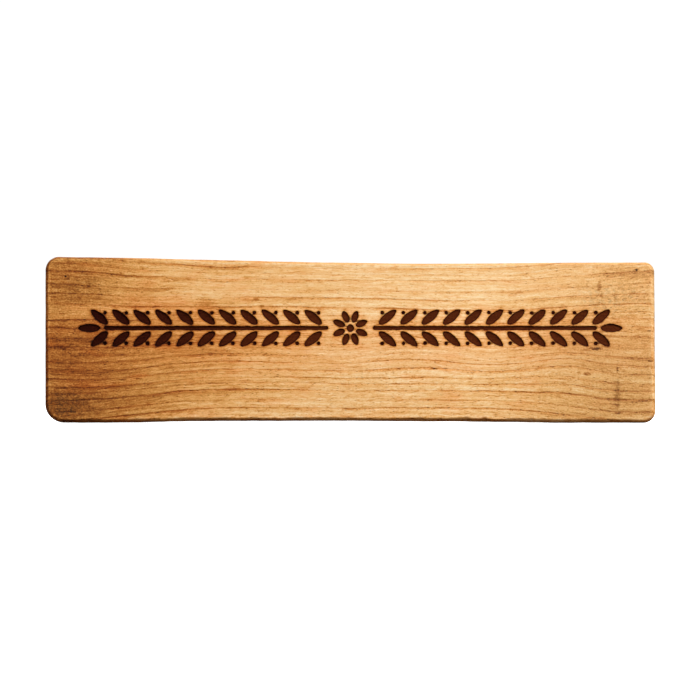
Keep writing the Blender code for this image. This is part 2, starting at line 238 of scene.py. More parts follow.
def band_shapes(inset):
    """Closed outlines of everything that is burned in, drawn in by inset."""
    made = [disc(0, BAND_Z, ROSE_DOT_R, inset)]
    for i in range(PETALS):
        a = 360 * i / PETALS + 22.5
        made.append(leaf(PETAL_FROM * math.cos(math.radians(a)), BAND_Z + PETAL_FROM * math.sin(math.radians(a)),
                         a, PETAL_LONG, PETAL_WIDE, inset, 12))
    slope = math.radians(LEAF_ANGLE)
    side = [bar(STEM_FROM, STEM_TO, BAND_Z, STEM_HALF, inset),
            leaf(STEM_TO + 1.8, BAND_Z, 0, LEAF_LONG, LEAF_WIDE, inset)]
    for i in range(LEAF_PAIRS):
        x = LEAF_FIRST + LEAF_PITCH * i
        for up in (1, -1):
            side.append(leaf(x, BAND_Z + up * LEAF_OFF, up * LEAF_ANGLE, LEAF_LONG, LEAF_WIDE, inset))
            side.append(disc(x - LEAF_PITCH / 2 + BERRY_OUT * math.cos(slope),
                             BAND_Z + up * (LEAF_OFF + BERRY_OUT * math.sin(slope)), BERRY_R, inset, 14))
    made += side + [(s * (-1, 1))[::-1] for s in side]
    wobbled = []
    for s in made:   # the burner's uneven hand
        x, z = s[:, 0], s[:, 1]
        dx = 0.13 * n_wobble(x / 2.3, 1.0, z / 2.3) + 0.05 * n_wobble(x / 0.8, 2.0, z / 0.8)
        dz = 0.13 * n_wobble(x / 2.3, 11.0, z / 2.3) + 0.05 * n_wobble(x / 0.8, 12.0, z / 0.8)
        wobbled.append(np.stack([x + dx, z + dz], 1))
    return wobbled


def inside(points, loop):
    """Which points lie inside a closed loop."""
    x, z = points[:, 0], points[:, 1]
    hit = np.zeros(len(points), bool)
    x0, z0 = loop[-1]
    for x1, z1 in loop:
        if z0 != z1:
            crosses = ((z0 > z) != (z1 > z)) & (x < (x1 - x0) * (z - z0) / (z1 - z0) + x0)
            hit ^= crosses
        x0, z0 = x1, z1
    return hit


def distance(points, loop, stretch=(1.0, 1.0)):
    """Distance of each point to a closed loop's segments."""
    s = np.array(stretch)
    p, a = points * s, loop * s
    b = np.roll(a, -1, 0)
    ab = b - a
    size = (ab ** 2).sum(1) + 1e-12
    best = np.full(len(p), 1e9)
    for lo in range(0, len(p), 4000):
        q = p[lo:lo + 4000, None, :] - a[None]
        t = np.clip((q * ab[None]).sum(2) / size, 0, 1)
        best[lo:lo + 4000] = np.sqrt(((q - t[..., None] * ab[None]) ** 2).sum(2).min(1))
    return best


# ------------------------------------------------------------------ the plank's mesh
FACE, RIM, FOOT, FLOOR = range(4)
GRID_X, GRID_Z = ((1.35, 0.44))
SQUEEZE = np.array([GRID_Z / GRID_X * 1.1, 1.0])


def hex_grid(lo, hi, dx, dz):
    rows = np.arange(lo[1], hi[1], dz)
    cols = np.arange(lo[0], hi[0], dx)
    gx, gz = np.meshgrid(cols, rows)
    gx = gx + (np.arange(len(rows)) % 2)[:, None] * dx / 2
    return np.stack([gx.ravel(), gz.ravel()], 1)


def triangulate(points, loops):
    """Triangles between points, keeping the loops' edges; points in mm."""
    edges = []
    for loop in loops:
        edges += [(int(a), int(b)) for a, b in zip(loop, np.roll(loop, -1))]
    flat = points * SQUEEZE
    made = delaunay_2d_cdt([Vector(p) for p in flat], edges, [], 1, 1e-6, True)
    back = np.array([o[0] if o else -1 for o in made[3]])
    if (back < 0).any():
        raise RuntimeError("outlines cross")
    faces = np.array([back[list(f)] for f in made[2] if len(f) == 3])
    rim = len(loops[0])   # what lies between the outer loop and its convex hull goes
    outer = np.flatnonzero((faces < rim).all(1))
    outer = outer[~inside(points[faces[outer]].mean(1), points[:rim])]
    faces = np.delete(faces, outer, 0)
    a, b, c = (points[faces[:, i]] for i in range(3))
    area = (b[:, 0] - a[:, 0]) * (c[:, 1] - a[:, 1]) - (b[:, 1] - a[:, 1]) * (c[:, 0] - a[:, 0])
    faces[area < 0] = faces[area < 0][:, ::-1]
    return faces


def build_board():
    outline, normals, s = plank_outline()
    count = len(outline)
    ox, oz = outline[:, 0], outline[:, 1]
    waver = 0.10 * n_edge(ox / 17, 3.0, oz / 17) + 0.04 * n_edge(ox / 4, 7.0, oz / 4)
    outline = outline + normals * (waver + 0.16 + 0.07 * np.abs(normals[:, 1]))[:, None]

    # width of the worn edge: wider below, narrower above, uneven, with a few chips
    up, right = normals[:, 1], normals[:, 0]
    width = 1.75 + 0.18 * np.clip(-up, 0, 1) - 0.65 * np.clip(up, 0, 1) + 0.2 * np.clip(right, 0, 1)
    width *= 1 + 0.13 * n_edge(ox / 9, 13.0, oz / 9) + 0.09 * n_edge(ox / 2.2, 17.0, oz / 2.2)
    chips = np.random.RandomState(5)
    total = s[-1]
    for at, big, wide in zip(chips.rand(26) * total, chips.rand(26), chips.rand(26)):
        away = np.minimum(np.abs(s - at), total - np.abs(s - at))
        width += (0.15 + 0.45 * big ** 2) * np.exp(-(away / (0.5 + 1.4 * wide)) ** 2)

    # rings from the face's crease, over the front edge, down the side, to the back's crease
    rings = []
    start = math.radians(24)
    big = width / (1 - math.sin(start))
    steps = 6
    for i in range(steps + 1):
        a = start + (math.pi / 2 - start) * i / steps
        rings.append((big * (1 - math.sin(a)), FRONT + big * (math.cos(start) - math.cos(a)) + 0.02))
    front_low = rings[-1][1]
    back_width = 1.3 + 0.15 * n_edge(ox / 8, 33.0, oz / 8)
    back_big = back_width / (1 - math.sin(start))
    back_low = BACK - back_big * math.cos(start)
    for i in range(1, 7):
        t = i / 7
        rings.append((np.zeros(count), front_low * (1 - t) + back_low * t))
    for i in range(4, -1, -1):
        a = start + (math.pi / 2 - start) * i / 4
        rings.append((back_big * (1 - math.sin(a)), BACK - back_big * (math.cos(start) - math.cos(a)) - 0.01))

    verts, faces = [], []
    burn, worn, edge = [], [], []
    base = 0
    for number, (inset, y) in enumerate(rings):
        flat = outline - normals * inset[:, None]
        grain = relief(flat[:, 0], y, flat[:, 1], 0.9)
        flat = flat - normals * (grain * (0.35 + 0.65 * (inset < 0.05)))[:, None]
        verts.append(np.stack([flat[:, 0], y, flat[:, 1]], 1))
        burn.append(np.full(count, -9.0))
        worn.append(np.full(count, 0.0 if number == 0 else 1.0))
        edge.append(np.zeros(count))
        if number:
            a = np.arange(count) + base - count
            b = np.roll(a, -1)
            faces += [np.stack([b, a, b + count], 1), np.stack([b + count, a, a + count], 1)]
        base += count
    last_ring = base - count

    # the face: a fine grid, the outlines of the burned band and, just inside them, their feet
    rim_in = outline - normals * (width + 0.16)[:, None]
    rims, feet = band_shapes(0.0), band_shapes(0.14)
    grid = hex_grid((-151, -1), (151, 82.5), GRID_X, GRID_Z)
    grid = grid[inside(grid, rim_in)]
    near = (np.abs(grid[:, 0]) > 143) | (grid[:, 1] < 6) | (grid[:, 1] > 72)
    keep = np.ones(len(grid), bool)
    keep[near] = distance(grid[near], rim_in, SQUEEZE) > 0.20
    from_edge = np.full(len(grid), 9.0)
    from_edge[near] = np.minimum(distance(grid[near], rim_in), 9)
    grid, from_edge = grid[keep], from_edge[keep]
    kind = np.full(len(grid), FACE)
    signed = np.full(len(grid), -9.0)
    keep = np.ones(len(grid), bool)
    for rim, foot in zip(rims, feet):
        lo, hi = rim.min(0) - 3.2, rim.max(0) + 3.2
        close = np.flatnonzero(((grid > lo) & (grid < hi)).all(1))
        if not len(close):
            continue
        p = grid[close]
        d = distance(p, rim)
        within = inside(p, foot)
        kind[close[within]] = FLOOR
        signed[close] = np.maximum(signed[close], np.where(inside(p, rim), d, -d))
        keep[close] &= (distance(p, rim, SQUEEZE * (1.6, 1)) > 0.17) & (distance(p, foot, SQUEEZE * (1.6, 1)) > 0.17)
        keep[close] &= within | ~inside(p, rim)
    grid, kind, signed, from_edge = grid[keep], kind[keep], signed[keep], from_edge[keep]

    parts, loops, kinds, signs = [rim_in], [np.arange(count)], [np.full(count, FACE)], [np.full(count, -9.0)]
    total = count
    for group, code, value in ((rims, RIM, 0.0), (feet, FOOT, 0.14)):
        for loop in group:
            parts.append(loop)
            loops.append(np.arange(total, total + len(loop)))
            kinds.append(np.full(len(loop), code))
            signs.append(np.full(len(loop), value))
            total += len(loop)
    parts.append(grid)
    flat = np.concatenate(parts)
    kind = np.concatenate(kinds + [kind])
    signed = np.concatenate(signs + [signed])
    tris = triangulate(flat, loops)

    y = np.full(len(flat), FRONT)
    x, z = flat[:, 0], flat[:, 1]
    grain = relief(x, y, z)
    y = FRONT + grain
    floor = FRONT + BURN_DEEP - 0.10 + 0.05 * n_fine(x / 3, 41.0, z / 0.7) + 0.05 * n_relief(x / 4, 9.0, z / 4)
    y = np.where(kind == FLOOR, floor + 0.08, y)
    y = np.where(kind == FOOT, floor - 0.04, y)
    y[:count] = FRONT + 0.45 * grain[:count]
    face = np.stack([x, y, z], 1)
    first = base
    verts.append(face)
    burn.append(signed)
    worn.append(np.zeros(len(face)))
    edge.append(np.concatenate([np.zeros(count), np.full(total - count, 9.0), from_edge]))
    base += len(face)
    faces.append(tris + first)
    a = np.arange(count)
    b = np.roll(a, -1)
    faces += [np.stack([first + b, first + a, b], 1), np.stack([b, first + a, a], 1)]

    # the back: planed flat, with the two pilot holes
    back_in = outline - normals * (back_width + 0.16)[:, None]
    grid = hex_grid((-151, -1), (151, 82.5), 3.2, 1.5)
    grid = grid[inside(grid, back_in)]
    grid = grid[distance(grid, back_in, SQUEEZE) > 0.7]
    holes = []
    for node in ("hanger_screw_left", "hanger_screw_right"):
        lo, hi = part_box(node)
        holes.append(np.array(((lo.x + hi.x) / 2, (lo.z + hi.z) / 2)) / MM)
    circles = [disc(cx, cz, PILOT_R, 0.0, 36) for cx, cz in holes]
    for centre in holes:
        grid = grid[np.linalg.norm(grid - centre, axis=1) > PILOT_R + 0.9]
    parts, loops, total = [back_in], [np.arange(count)], count
    for circle in circles:
        parts.append(circle)
        loops.append(np.arange(total, total + len(circle)))
        total += len(circle)
    flat = np.concatenate(parts + [grid])
    tris = triangulate(flat, loops)
    for loop in loops[1:]:
        tris = tris[~((tris >= loop[0]) & (tris <= loop[-1])).all(1)]
    x, z = flat[:, 0], flat[:, 1]
    y = BACK - 0.5 * relief(x, np.full(len(flat), BACK), z)
    first = base
    verts.append(np.stack([x, y, z], 1))
    burn.append(np.full(len(flat), -9.0))
    worn.append(np.zeros(len(flat)))
    edge.append(np.full(len(flat), 9.0))
    base += len(flat)
    faces.append(tris[:, ::-1] + first)
    b = np.roll(a, -1)
    faces += [np.stack([first + a, first + b, last_ring + a], 1),
              np.stack([last_ring + a, first + b, last_ring + b], 1)]
    for loop, circle, centre in zip(loops[1:], circles, holes):
        n = len(circle)
        ring = first + loop
        for deep, r in ((0.35, PILOT_R - 0.05), (PILOT_DEEP - 0.6, PILOT_R - 0.05), (PILOT_DEEP, 0.0)):
            if r:
                new = centre + (circle - centre) * (r / PILOT_R)
                verts.append(np.stack([new[:, 0], np.full(n, BACK - deep), new[:, 1]], 1))
                burn.append(np.full(n, -9.0))
                worn.append(np.full(n, 1.0))
                edge.append(np.zeros(n))
                nxt = base + np.arange(n)
                base += n
                r0, r1, n0, n1 = ring, np.roll(ring, -1), nxt, np.roll(nxt, -1)
                faces += [np.stack([r1, r0, n1], 1), np.stack([n1, r0, n0], 1)]
                ring = nxt
            else:
                verts.append(np.array([[centre[0], BACK - deep, centre[1]]]))
                burn.append(np.full(1, -9.0))
                worn.append(np.full(1, 1.0))
                edge.append(np.zeros(1))
                faces.append(np.stack([np.roll(ring, -1), ring, np.full(n, base)], 1))
                base += 1

    verts = np.concatenate(verts)
    faces = np.concatenate(faces)
    mesh = bpy.data.meshes.new("plank")
    mesh.vertices.add(len(verts))
    mesh.vertices.foreach_set("co", (verts * MM).astype(np.float32).ravel())
    mesh.loops.add(faces.size)
    mesh.loops.foreach_set("vertex_index", faces.astype(np.int32).ravel())
    mesh.polygons.add(len(faces))
    mesh.polygons.foreach_set("loop_start", np.arange(0, faces.size, 3, dtype=np.int32))
    mesh.update(calc_edges=True)
    mesh.validate()
    x, y, z = verts.T
    for name, values in (("ring_height", ring_height(x, y, z)), ("line_fade", line_fade(x, y, z)),
                         ("burn", np.concatenate(burn)), ("worn", np.concatenate(worn)),
                         ("edge", np.concatenate(edge))):
        attribute = mesh.attributes.new(name, "FLOAT", "POINT")
        attribute.data.foreach_set("value", values.astype(np.float32))
    obj = bpy.data.objects.new("plank", mesh)
    bpy.context.scene.collection.objects.link(obj)
    mesh.shade_smooth()
    mesh.set_sharp_from_angle(angle=math.radians(42))
    return obj


# ------------------------------------------------------------------ hardware meshes
def solid(name, verts, faces, sharp=38):
    """A smooth-shaded object from points in mm, sharp where its faces meet steeply."""
    mesh = bpy.data.meshes.new(name)
    mesh.from_pydata((np.asarray(verts) * MM).tolist(), [], [[int(i) for i in f] for f in faces])
    shape = bmesh.new()
    shape.from_mesh(mesh)
    bmesh.ops.recalc_face_normals(shape, faces=shape.faces)
    shape.to_mesh(mesh)
    shape.free()
    mesh.shade_smooth()
    mesh.set_sharp_from_angle(angle=math.radians(sharp))
    obj = bpy.data.objects.new(name, mesh)
    bpy.context.scene.collection.objects.link(obj)
    return obj


def rows_to_faces(rows, around, loop=False, first=0):
    """Quads between rows of points; each row is a closed ring of around points."""
    made = []
    for r in range(rows if loop else rows - 1):
        a = first + r * around
        b = first + (r + 1) % rows * around
        for i in range(around):
            j = (i + 1) % around
            made.append((a + i, a + j, b + j, b + i))
    return made


def cut(obj, tool, sharp=38):
    """Cut the tool out of the object, leaving one plain mesh."""
    knife = obj.modifiers.new("cut", "BOOLEAN")
    knife.operation, knife.object, knife.solver = "DIFFERENCE", tool, "EXACT"
    made = bpy.data.meshes.new_from_object(obj.evaluated_get(bpy.context.evaluated_depsgraph_get()))
    obj.modifiers.clear()
    obj.data = made
    bpy.data.objects.remove(tool)
    made.shade_smooth()
    made.set_sharp_from_angle(angle=math.radians(sharp))


def rounded(points, times=3):
    """An open line with its corners cut again and again; its ends stay."""
    line = np.array(points, float)
    for _ in range(times):
        a, b = line[:-1], line[1:]
        cut_line = np.stack([0.75 * a + 0.25 * b, 0.25 * a + 0.75 * b], 1).reshape(-1, 2)
        line = np.concatenate([line[:1], cut_line, line[-1:]])
    return line


def turned(name, profile, at, sides=56, sharp=38):
    """A profile of (radius, height out from the back) turned about the +Y line through at."""
    turn = 2 * np.pi * np.arange(sides) / sides
    verts = [np.stack([at[0] + r * np.cos(turn), np.full(sides, at[1] + h), at[2] + r * np.sin(turn)], 1)
             for r, h in profile]
    faces = rows_to_faces(len(profile), sides)
    faces += [range(sides), range((len(profile) - 1) * sides, len(profile) * sides)]
    return solid(name, np.concatenate(verts), faces, sharp)


def bumper(name):
    """Moulded dome with a flat top and a small dimple where the mould was fed."""
    lo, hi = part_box(name)
    tall, big = (hi.y - lo.y) / MM, (hi.x - lo.x) / 2 / MM
    middle = ((lo.x + hi.x) / 2 / MM, lo.y / MM, (lo.z + hi.z) / 2 / MM)
    seat = 0.02 - TOUCH     # stuck to the wood
    profile = [(0.35, tall - 0.22), (0.6, tall - 0.2), (0.8, tall - 0.02)]
    profile += rounded([(0.95, tall), (3.3, tall), (4.4, tall - 0.15), (big - 0.35, tall - 1.7),
                        (big - 0.12, 0.9), (big, 0.2), (big - 0.15, seat)]).tolist()
    profile.append((big - 0.5, seat))
    return turned(name + "_moulded", profile, middle, 64)


def d_ring(side, axis):
    """Bent wire: a bar, two short legs and a half round, closed by a butt joint in the bar."""
    h, c, leg = RING_HALF, RING_CORNER, RING_LEG
    bar_x = np.linspace(-(h - c), h - c, 10)[1:-1]
    path = np.concatenate([arc(h - c, c, c, -90, 0, 10), arc(0, leg, h, 0, 180, 60),
                           arc(-h + c, c, c, 180, 270, 10), np.stack([bar_x, np.zeros(8)], 1)])
    ahead = np.roll(path, -1, 0) - np.roll(path, 1, 0)
    ahead /= np.linalg.norm(ahead, axis=1)[:, None]
    out = np.stack([ahead[:, 1], -ahead[:, 0]], 1)
    sides = 20
    turn = 2 * np.pi * np.arange(sides) / sides
    r = WIRE_R - 0.01
    x = axis[0] + path[:, :1] + out[:, :1] * r * np.cos(turn)
    z = axis[2] + path[:, 1:] + out[:, 1:] * r * np.cos(turn)
    y = axis[1] + np.broadcast_to(r * np.sin(turn), x.shape)
    return solid("d_ring_wire_" + side, np.stack([x, y, z], 2).reshape(-1, 3),
                 rows_to_faces(len(path), sides, loop=True), 60)


def strap(side, axis):
    """Sheet folded round the ring's bar, with round tails and a clearance hole for the screw."""
    low = TOUCH + SHEET / 2
    eye = low + EYE_MID_R
    high = low + SHEET + LEAF_GAP
    bend = 1.0
    centre = high + bend
    drop = math.sqrt((EYE_MID_R + bend) ** 2 - (centre - eye) ** 2)
    finish = 360 - math.degrees(math.atan2(drop, -(centre - eye)))
    half = STRAP_WIDE / 2
    tail = [(-TAIL - half * math.sin(a), half * math.cos(a)) for a in np.radians(np.linspace(86, 0, 22))]
    shank = [(along, half) for along in np.linspace(-TAIL, -drop - 1.0, 8)[1:-1]]
    points = [(low, along, wide) for along, wide in tail + shank]      # out, along, half width
    a = np.radians(np.linspace(0, finish, 52))
    points += [(eye - EYE_MID_R * math.cos(t), EYE_MID_R * math.sin(t), half) for t in a]
    b = np.linspace(math.asin((centre - eye) / (EYE_MID_R + bend)), math.pi / 2, 10)[1:]
    points += [(centre - bend * math.sin(t), -drop + bend * math.cos(t), half) for t in b]
    points += [(high, along, wide) for along, wide in (tail + shank)[::-1]]
    points = np.array(points)
    ahead = np.gradient(points[:, :2], axis=0)
    ahead /= np.linalg.norm(ahead, axis=1)[:, None]
    normal = np.stack([-ahead[:, 1], ahead[:, 0]], 1)
    edge_r, t = 0.18, SHEET / 2 - 0.005
    ring = []       # a round-edged bar: (share of the half width, inset from it, height)
    for sign_u, sign_v in ((1, 1), (-1, 1), (-1, -1), (1, -1)):
        turns = np.linspace(0, math.pi / 2, 5)
        corner = [(sign_u, edge_r * (1 - math.cos(q)), sign_v * (t - edge_r + edge_r * math.sin(q))) for q in turns]
        ring += corner if sign_u * sign_v > 0 else corner[::-1]
    verts = []
    for (out, along, wide), (n_out, n_along) in zip(points, normal):
        for share, inset, up in ring:
            verts.append((axis[0] + share * max(wide - 0.01 - inset, 0.02), BACK + out + n_out * up,
                          axis[2] + along + n_along * up))
    around = len(ring)
    faces = rows_to_faces(len(points), around)
    faces += [range(around), range((len(points) - 1) * around, len(points) * around)]
    made = solid("hanger_strap_sheet_" + side, verts, faces, 30)
    drill = turned("strap_drill_" + side, [(STRAP_HOLE_R, -1.0), (STRAP_HOLE_R, 6.0)],
                   (axis[0], BACK, axis[2] - TAIL), 48)
    cut(made, drill, 30)
    even = made.modifiers.new("even", "WEIGHTED_NORMAL")
    even.keep_sharp = True
    return made


def screw(side, axis):
    """Pan-head screw with a cross recess and a tapping thread, driven along -Y."""
    at = (axis[0], BACK + 2 * TOUCH + 2 * SHEET + LEAF_GAP, axis[2] - TAIL)
    sides, seat = 40, 0.02 - TOUCH       # the head comes down on to the strap
    turn = 2 * np.pi * np.arange(sides) / sides
    head = rounded([(1.2, HEAD_TALL), (2.35, HEAD_TALL - 0.02), (3.05, HEAD_TALL - 0.35), (3.36, 1.3),
                    (3.49, 0.6), (3.49, seat + 0.12), (3.38, seat)])
    verts = [np.stack([r * np.cos(turn), np.full(sides, h), r * np.sin(turn)], 1) for r, h in head]
    verts.append(np.stack([1.45 * np.cos(turn), np.full(sides, seat), 1.45 * np.sin(turn)], 1))
    for below in np.arange(2.6, SCREW_LONG - 0.05, PITCH / 8):
        ridge = 0.5 + 0.5 * np.cos(2 * np.pi * below / PITCH - turn)
        tip = min(1.0, (SCREW_LONG - below) / 3.0)
        r = (CORE_R + (THREAD_R - 0.02 - CORE_R) * ridge ** 1.6) * (0.1 + 0.9 * tip)
        verts.append(np.stack([r * np.cos(turn), np.full(sides, -below), r * np.sin(turn)], 1))
    verts = np.concatenate(verts) + np.array(at)
    rows = len(verts) // sides
    faces = rows_to_faces(rows, sides) + [range(sides), range((rows - 1) * sides, rows * sides)]
    made = solid("pan_head_screw_" + side, verts, faces, 34)

    def plus(length, width, h):
        l, w = length / 2, width / 2
        c, s = math.cos(0.35), math.sin(0.35)
        return [(at[0] + c * px - s * pz, at[1] + h, at[2] + s * px + c * pz) for px, pz in
                ((l, -w), (l, w), (w, w), (w, l), (-w, l), (-w, w), (-l, w), (-l, -w), (-w, -w), (-w, -l), (w, -l), (w, -w))]

    deep = plus(1.3, 0.6, HEAD_TALL - 1.35) + plus(4.4, 1.0, HEAD_TALL + 0.6)
    faces = rows_to_faces(2, 12) + [range(12), range(12, 24)]
    cut(made, solid("driver_" + side, deep, faces), 34)
    return made


# ------------------------------------------------------------------ shader arithmetic
class Value:
    """A socket, or a number, that node arithmetic can be written with."""

    def __init__(self, graph, socket):
        self.graph, self.socket = graph, socket

    def _do(self, op, *others, clamp=False):
        return self.graph.math(op, self, *others, clamp=clamp)

    def __add__(self, o): return self._do("ADD", o)
    def __radd__(self, o): return self._do("ADD", o)
    def __sub__(self, o): return self._do("SUBTRACT", o)
    def __rsub__(self, o): return self.graph.math("SUBTRACT", o, self)
    def __mul__(self, o): return self._do("MULTIPLY", o)
    def __rmul__(self, o): return self._do("MULTIPLY", o)
    def __truediv__(self, o): return self._do("DIVIDE", o)
    def __neg__(self): return self._do("MULTIPLY", -1.0)
    def clip(self): return self._do("MULTIPLY", 1.0, clamp=True)
    def sin(self): return self._do("SINE")
    def abs(self): return self._do("ABSOLUTE")
    def floor(self): return self._do("FLOOR")
    def fract(self): return self._do("FRACT")
    def power(self, o): return self._do("POWER", o)
    def over(self, o): return self._do("GREATER_THAN", o)
    def max(self, o): return self._do("MAXIMUM", o)
    def min(self, o): return self._do("MINIMUM", o)

    def bell(self, centre, width):
        """exp(-((self - centre) / width) ** 2)"""
        t = (self - centre) / width
        return self.graph.math("POWER", 2.718282, -(t * t))

    def step(self, lo, hi, a=0.0, b=1.0):
        """Smooth step from a at lo to b at hi."""
        return self.graph.range(self, lo, hi, a, b)


class Graph:
    def __init__(self, name):
        self.material = bpy.data.materials.new(name)
        self.material.use_nodes = True
        self.tree = self.material.node_tree
        self.shader = self.tree.nodes["Principled BSDF"]
        self.coordinates = None

    def node(self, kind, **settings):
        made = self.tree.nodes.new(kind)
        for key, value in settings.items():
            setattr(made, key, value)
        return made

    def plug(self, value, socket):
        if isinstance(value, Value):
            value = value.socket
        if isinstance(value, bpy.types.NodeSocket):
            self.tree.links.new(value, socket)
        else:
            socket.default_value = value

    def value(self, socket):
        return Value(self, socket)

    def math(self, op, *args, clamp=False):
        made = self.node("ShaderNodeMath", operation=op, use_clamp=clamp)
        for socket, arg in zip(made.inputs, args):
            self.plug(arg, socket)
        return self.value(made.outputs[0])

    def range(self, value, lo, hi, a=0.0, b=1.0, kind="SMOOTHSTEP"):
        made = self.node("ShaderNodeMapRange", interpolation_type=kind)
        for socket, arg in zip(made.inputs, (value, lo, hi, a, b)):
            self.plug(arg, socket)
        return self.value(made.outputs[0])

    def xyz(self):
        """The point in millimetres."""
        coordinates = self.node("ShaderNodeTexCoord")
        split = self.node("ShaderNodeSeparateXYZ")
        self.tree.links.new(coordinates.outputs["Object"], split.inputs[0])
        return tuple(self.value(s) * 1000.0 for s in split.outputs)

    def vector(self, x, y, z):
        made = self.node("ShaderNodeCombineXYZ")
        for socket, arg in zip(made.inputs, (x, y, z)):
            self.plug(arg, socket)
        return made.outputs[0]

    def attribute(self, name):
        return self.value(self.node("ShaderNodeAttribute", attribute_name=name).outputs["Fac"])

    def noise(self, x, y, z, detail=2.0, rough=0.5, distortion=0.0):
        """Noise about 0, from about -1 to 1, one lump per unit."""
        made = self.node("ShaderNodeTexNoise", noise_dimensions="3D")
        self.plug(self.vector(x, y, z), made.inputs["Vector"])
        self.plug(1.0, made.inputs["Scale"])
        self.plug(detail, made.inputs["Detail"])
        self.plug(rough, made.inputs["Roughness"])
        self.plug(distortion, made.inputs["Distortion"])
        return (self.value(made.outputs[0]) - 0.5) * 3.0

    def cells(self, x, y, z, randomness=1.0):
        """Distance to the nearest scattered point, and that point's random number."""
        made = self.node("ShaderNodeTexVoronoi", voronoi_dimensions="3D", feature="F1")
        self.plug(self.vector(x, y, z), made.inputs["Vector"])
        self.plug(1.0, made.inputs["Scale"])
        self.plug(randomness, made.inputs["Randomness"])
        split = self.node("ShaderNodeSeparateColor")
        self.tree.links.new(made.outputs["Color"], split.inputs[0])
        return self.value(made.outputs["Distance"]), self.value(split.outputs[0]), self.value(split.outputs[1])

    def ramp(self, value, stops, kind="LINEAR"):
        made = self.node("ShaderNodeValToRGB")
        made.color_ramp.interpolation = kind
        elements = made.color_ramp.elements
        while len(elements) > 1:
            elements.remove(elements[-1])
        elements[0].position, elements[0].color = stops[0][0], (*colour(stops[0][1]), 1)
        for position, rgb in stops[1:]:
            elements.new(position).color = (*colour(rgb), 1)
        self.plug(value, made.inputs[0])
        return made.outputs[0]

    def mix(self, share, a, b, kind="MIX"):
        made = self.node("ShaderNodeMix", data_type="RGBA", blend_type=kind)
        self.plug(share, made.inputs["Factor"])
        for socket, arg in ((made.inputs[6], a), (made.inputs[7], b)):
            self.plug((*colour(arg), 1) if isinstance(arg, tuple) else arg, socket)
        return made.outputs[2]

    def bump(self, height, distance, strength=1.0):
        """height is in units of distance (metres)."""
        made = self.node("ShaderNodeBump")
        self.plug(height, made.inputs["Height"])
        made.inputs["Distance"].default_value = distance
        made.inputs["Strength"].default_value = strength
        self.tree.links.new(made.outputs[0], self.shader.inputs["Normal"])


def colour(rgb):
    """Linear colour from 0 to 255 screen values."""
    return tuple(c / 255 / 12.92 if c / 255 <= 0.04045 else ((c / 255 + 0.055) / 1.055) ** 2.4 for c in rgb)


# ------------------------------------------------------------------ wood
# x, z, half length, half height (mm) and strength of each mark
MARKS = ((-140.0, 71.8, 0.52, 0.48, 0.95), (-138.4, 71.0, 0.5, 1.6, 0.12), (140.6, 75.0, 0.65, 0.75, 0.58),
         (140.4, 75.0, 1.6, 1.5, 0.10),
         (122.4, 66.6, 1.3, 3.0, 0.20), (123.6, 62.5, 0.9, 2.2, 0.15), (120.6, 36.3, 3.4, 0.8, 0.52),
         (116.5, 35.5, 5.5, 0.5, 0.16), (116.4, 23.9, 2.2, 0.9, 0.36), (112.0, 24.5, 1.4, 0.6, 0.22),
         (131.2, 25.9, 0.6, 1.7, 0.34), (131.0, 14.0, 1.8, 8.0, 0.13), (131.6, 4.6, 2.4, 0.6, 0.25),
         (41.3, 26.4, 2.4, 0.4, 0.34), (147.4, 30.2, 1.8, 0.45, 0.42), (147.0, 44.9, 2.0, 0.4, 0.34),
         (75.0, 57.0, 2.2, 1.6, 0.12), (-84.0, 55.2, 3.0, 0.5, 0.10), (13.0, 48.5, 1.6, 2.2, 0.10),
         (-71.5, 59.5, 5.0, 2.8, 0.10), (-46.5, 60.6, 1.8, 0.9, 0.20), (-43.5, 57.3, 1.4, 0.6, 0.20),
         (-29.0, 59.8, 6.5, 1.6, 0.08), (22.8, 65.6, 0.6, 1.5, 0.14), (-50.5, 71.4, 3.4, 0.7, 0.16),
         (-112.0, 21.0, 3.0, 0.4, 0.22), (-104.5, 21.6, 2.2, 0.35, 0.26), (-128.0, 25.5, 2.4, 0.4, 0.16))


